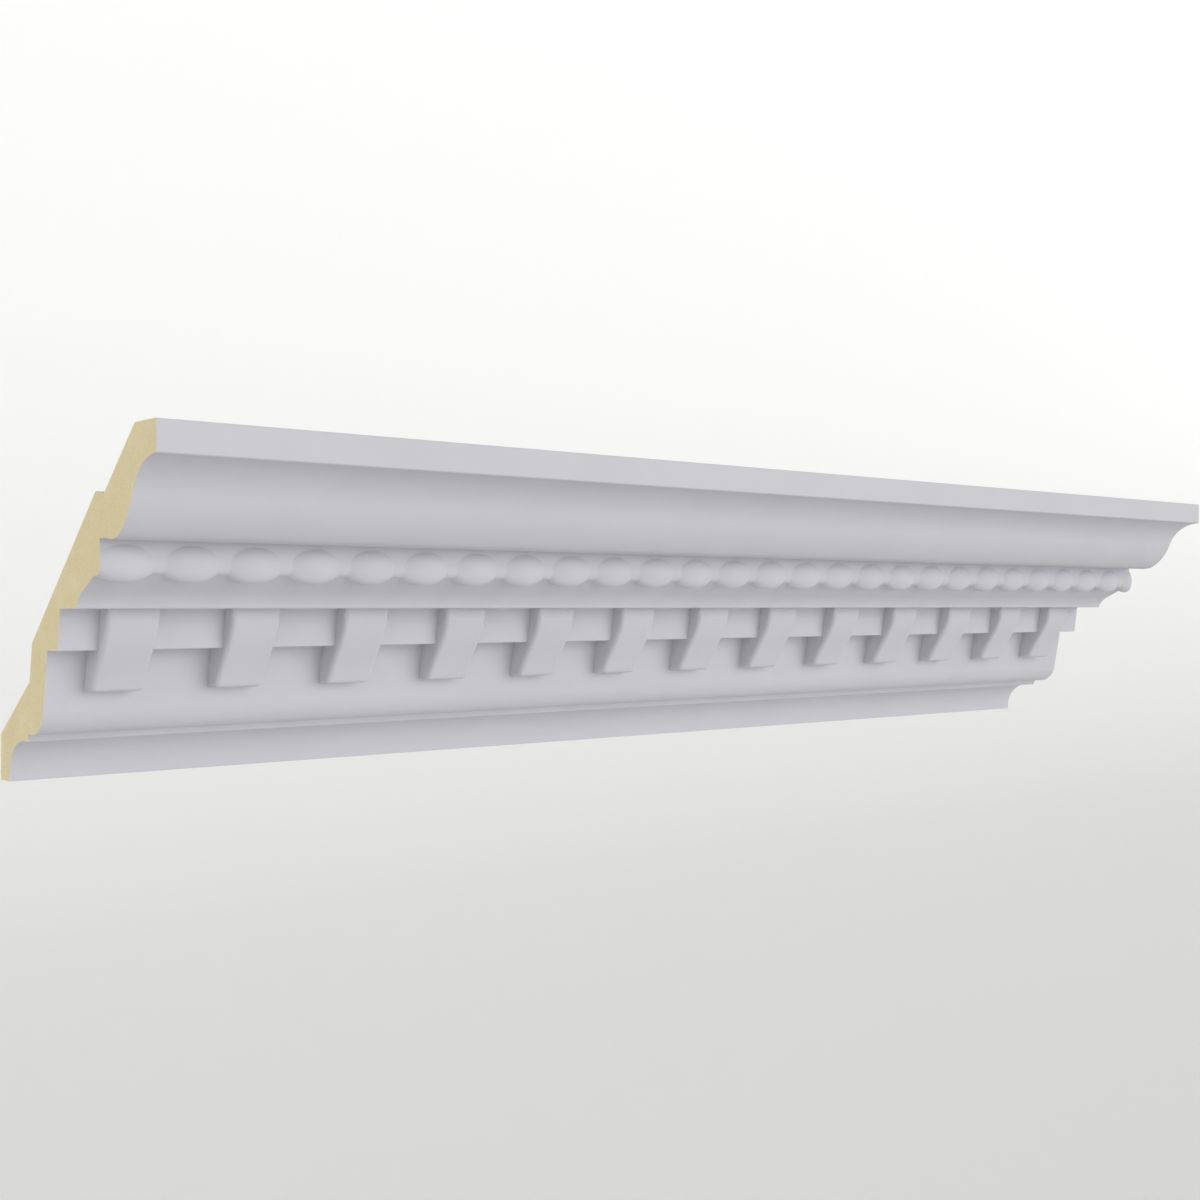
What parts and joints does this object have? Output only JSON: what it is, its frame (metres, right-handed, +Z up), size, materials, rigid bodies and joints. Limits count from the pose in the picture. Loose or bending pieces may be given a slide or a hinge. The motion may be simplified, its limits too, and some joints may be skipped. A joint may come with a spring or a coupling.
{
  "type": "cornice moulding length",
  "caption": "Straight length of cast cornice moulding with a crown, a bead string and dentils, cut square at both ends, to fit in the angle of wall and ceiling.",
  "frame": {"origin": "middle of the flat at the foot of the back, which bears on the wall", "axes": "+X along the run, from the left end to the right as seen from the room; +Y into the wall; +Z up to the ceiling"},
  "size_m": [0.611, 0.1341, 0.12],
  "materials": {
    "primed_foam": "matte factory primer, pale lavender grey, on moulded rigid polyurethane foam",
    "cut_foam": "bare tan rigid foam with fine closed cells, where the length is sawn square at its two ends"
  },
  "bodies": {
    "root": {"cornice_moulding": "primed_foam"}
  },
  "joints": []
}
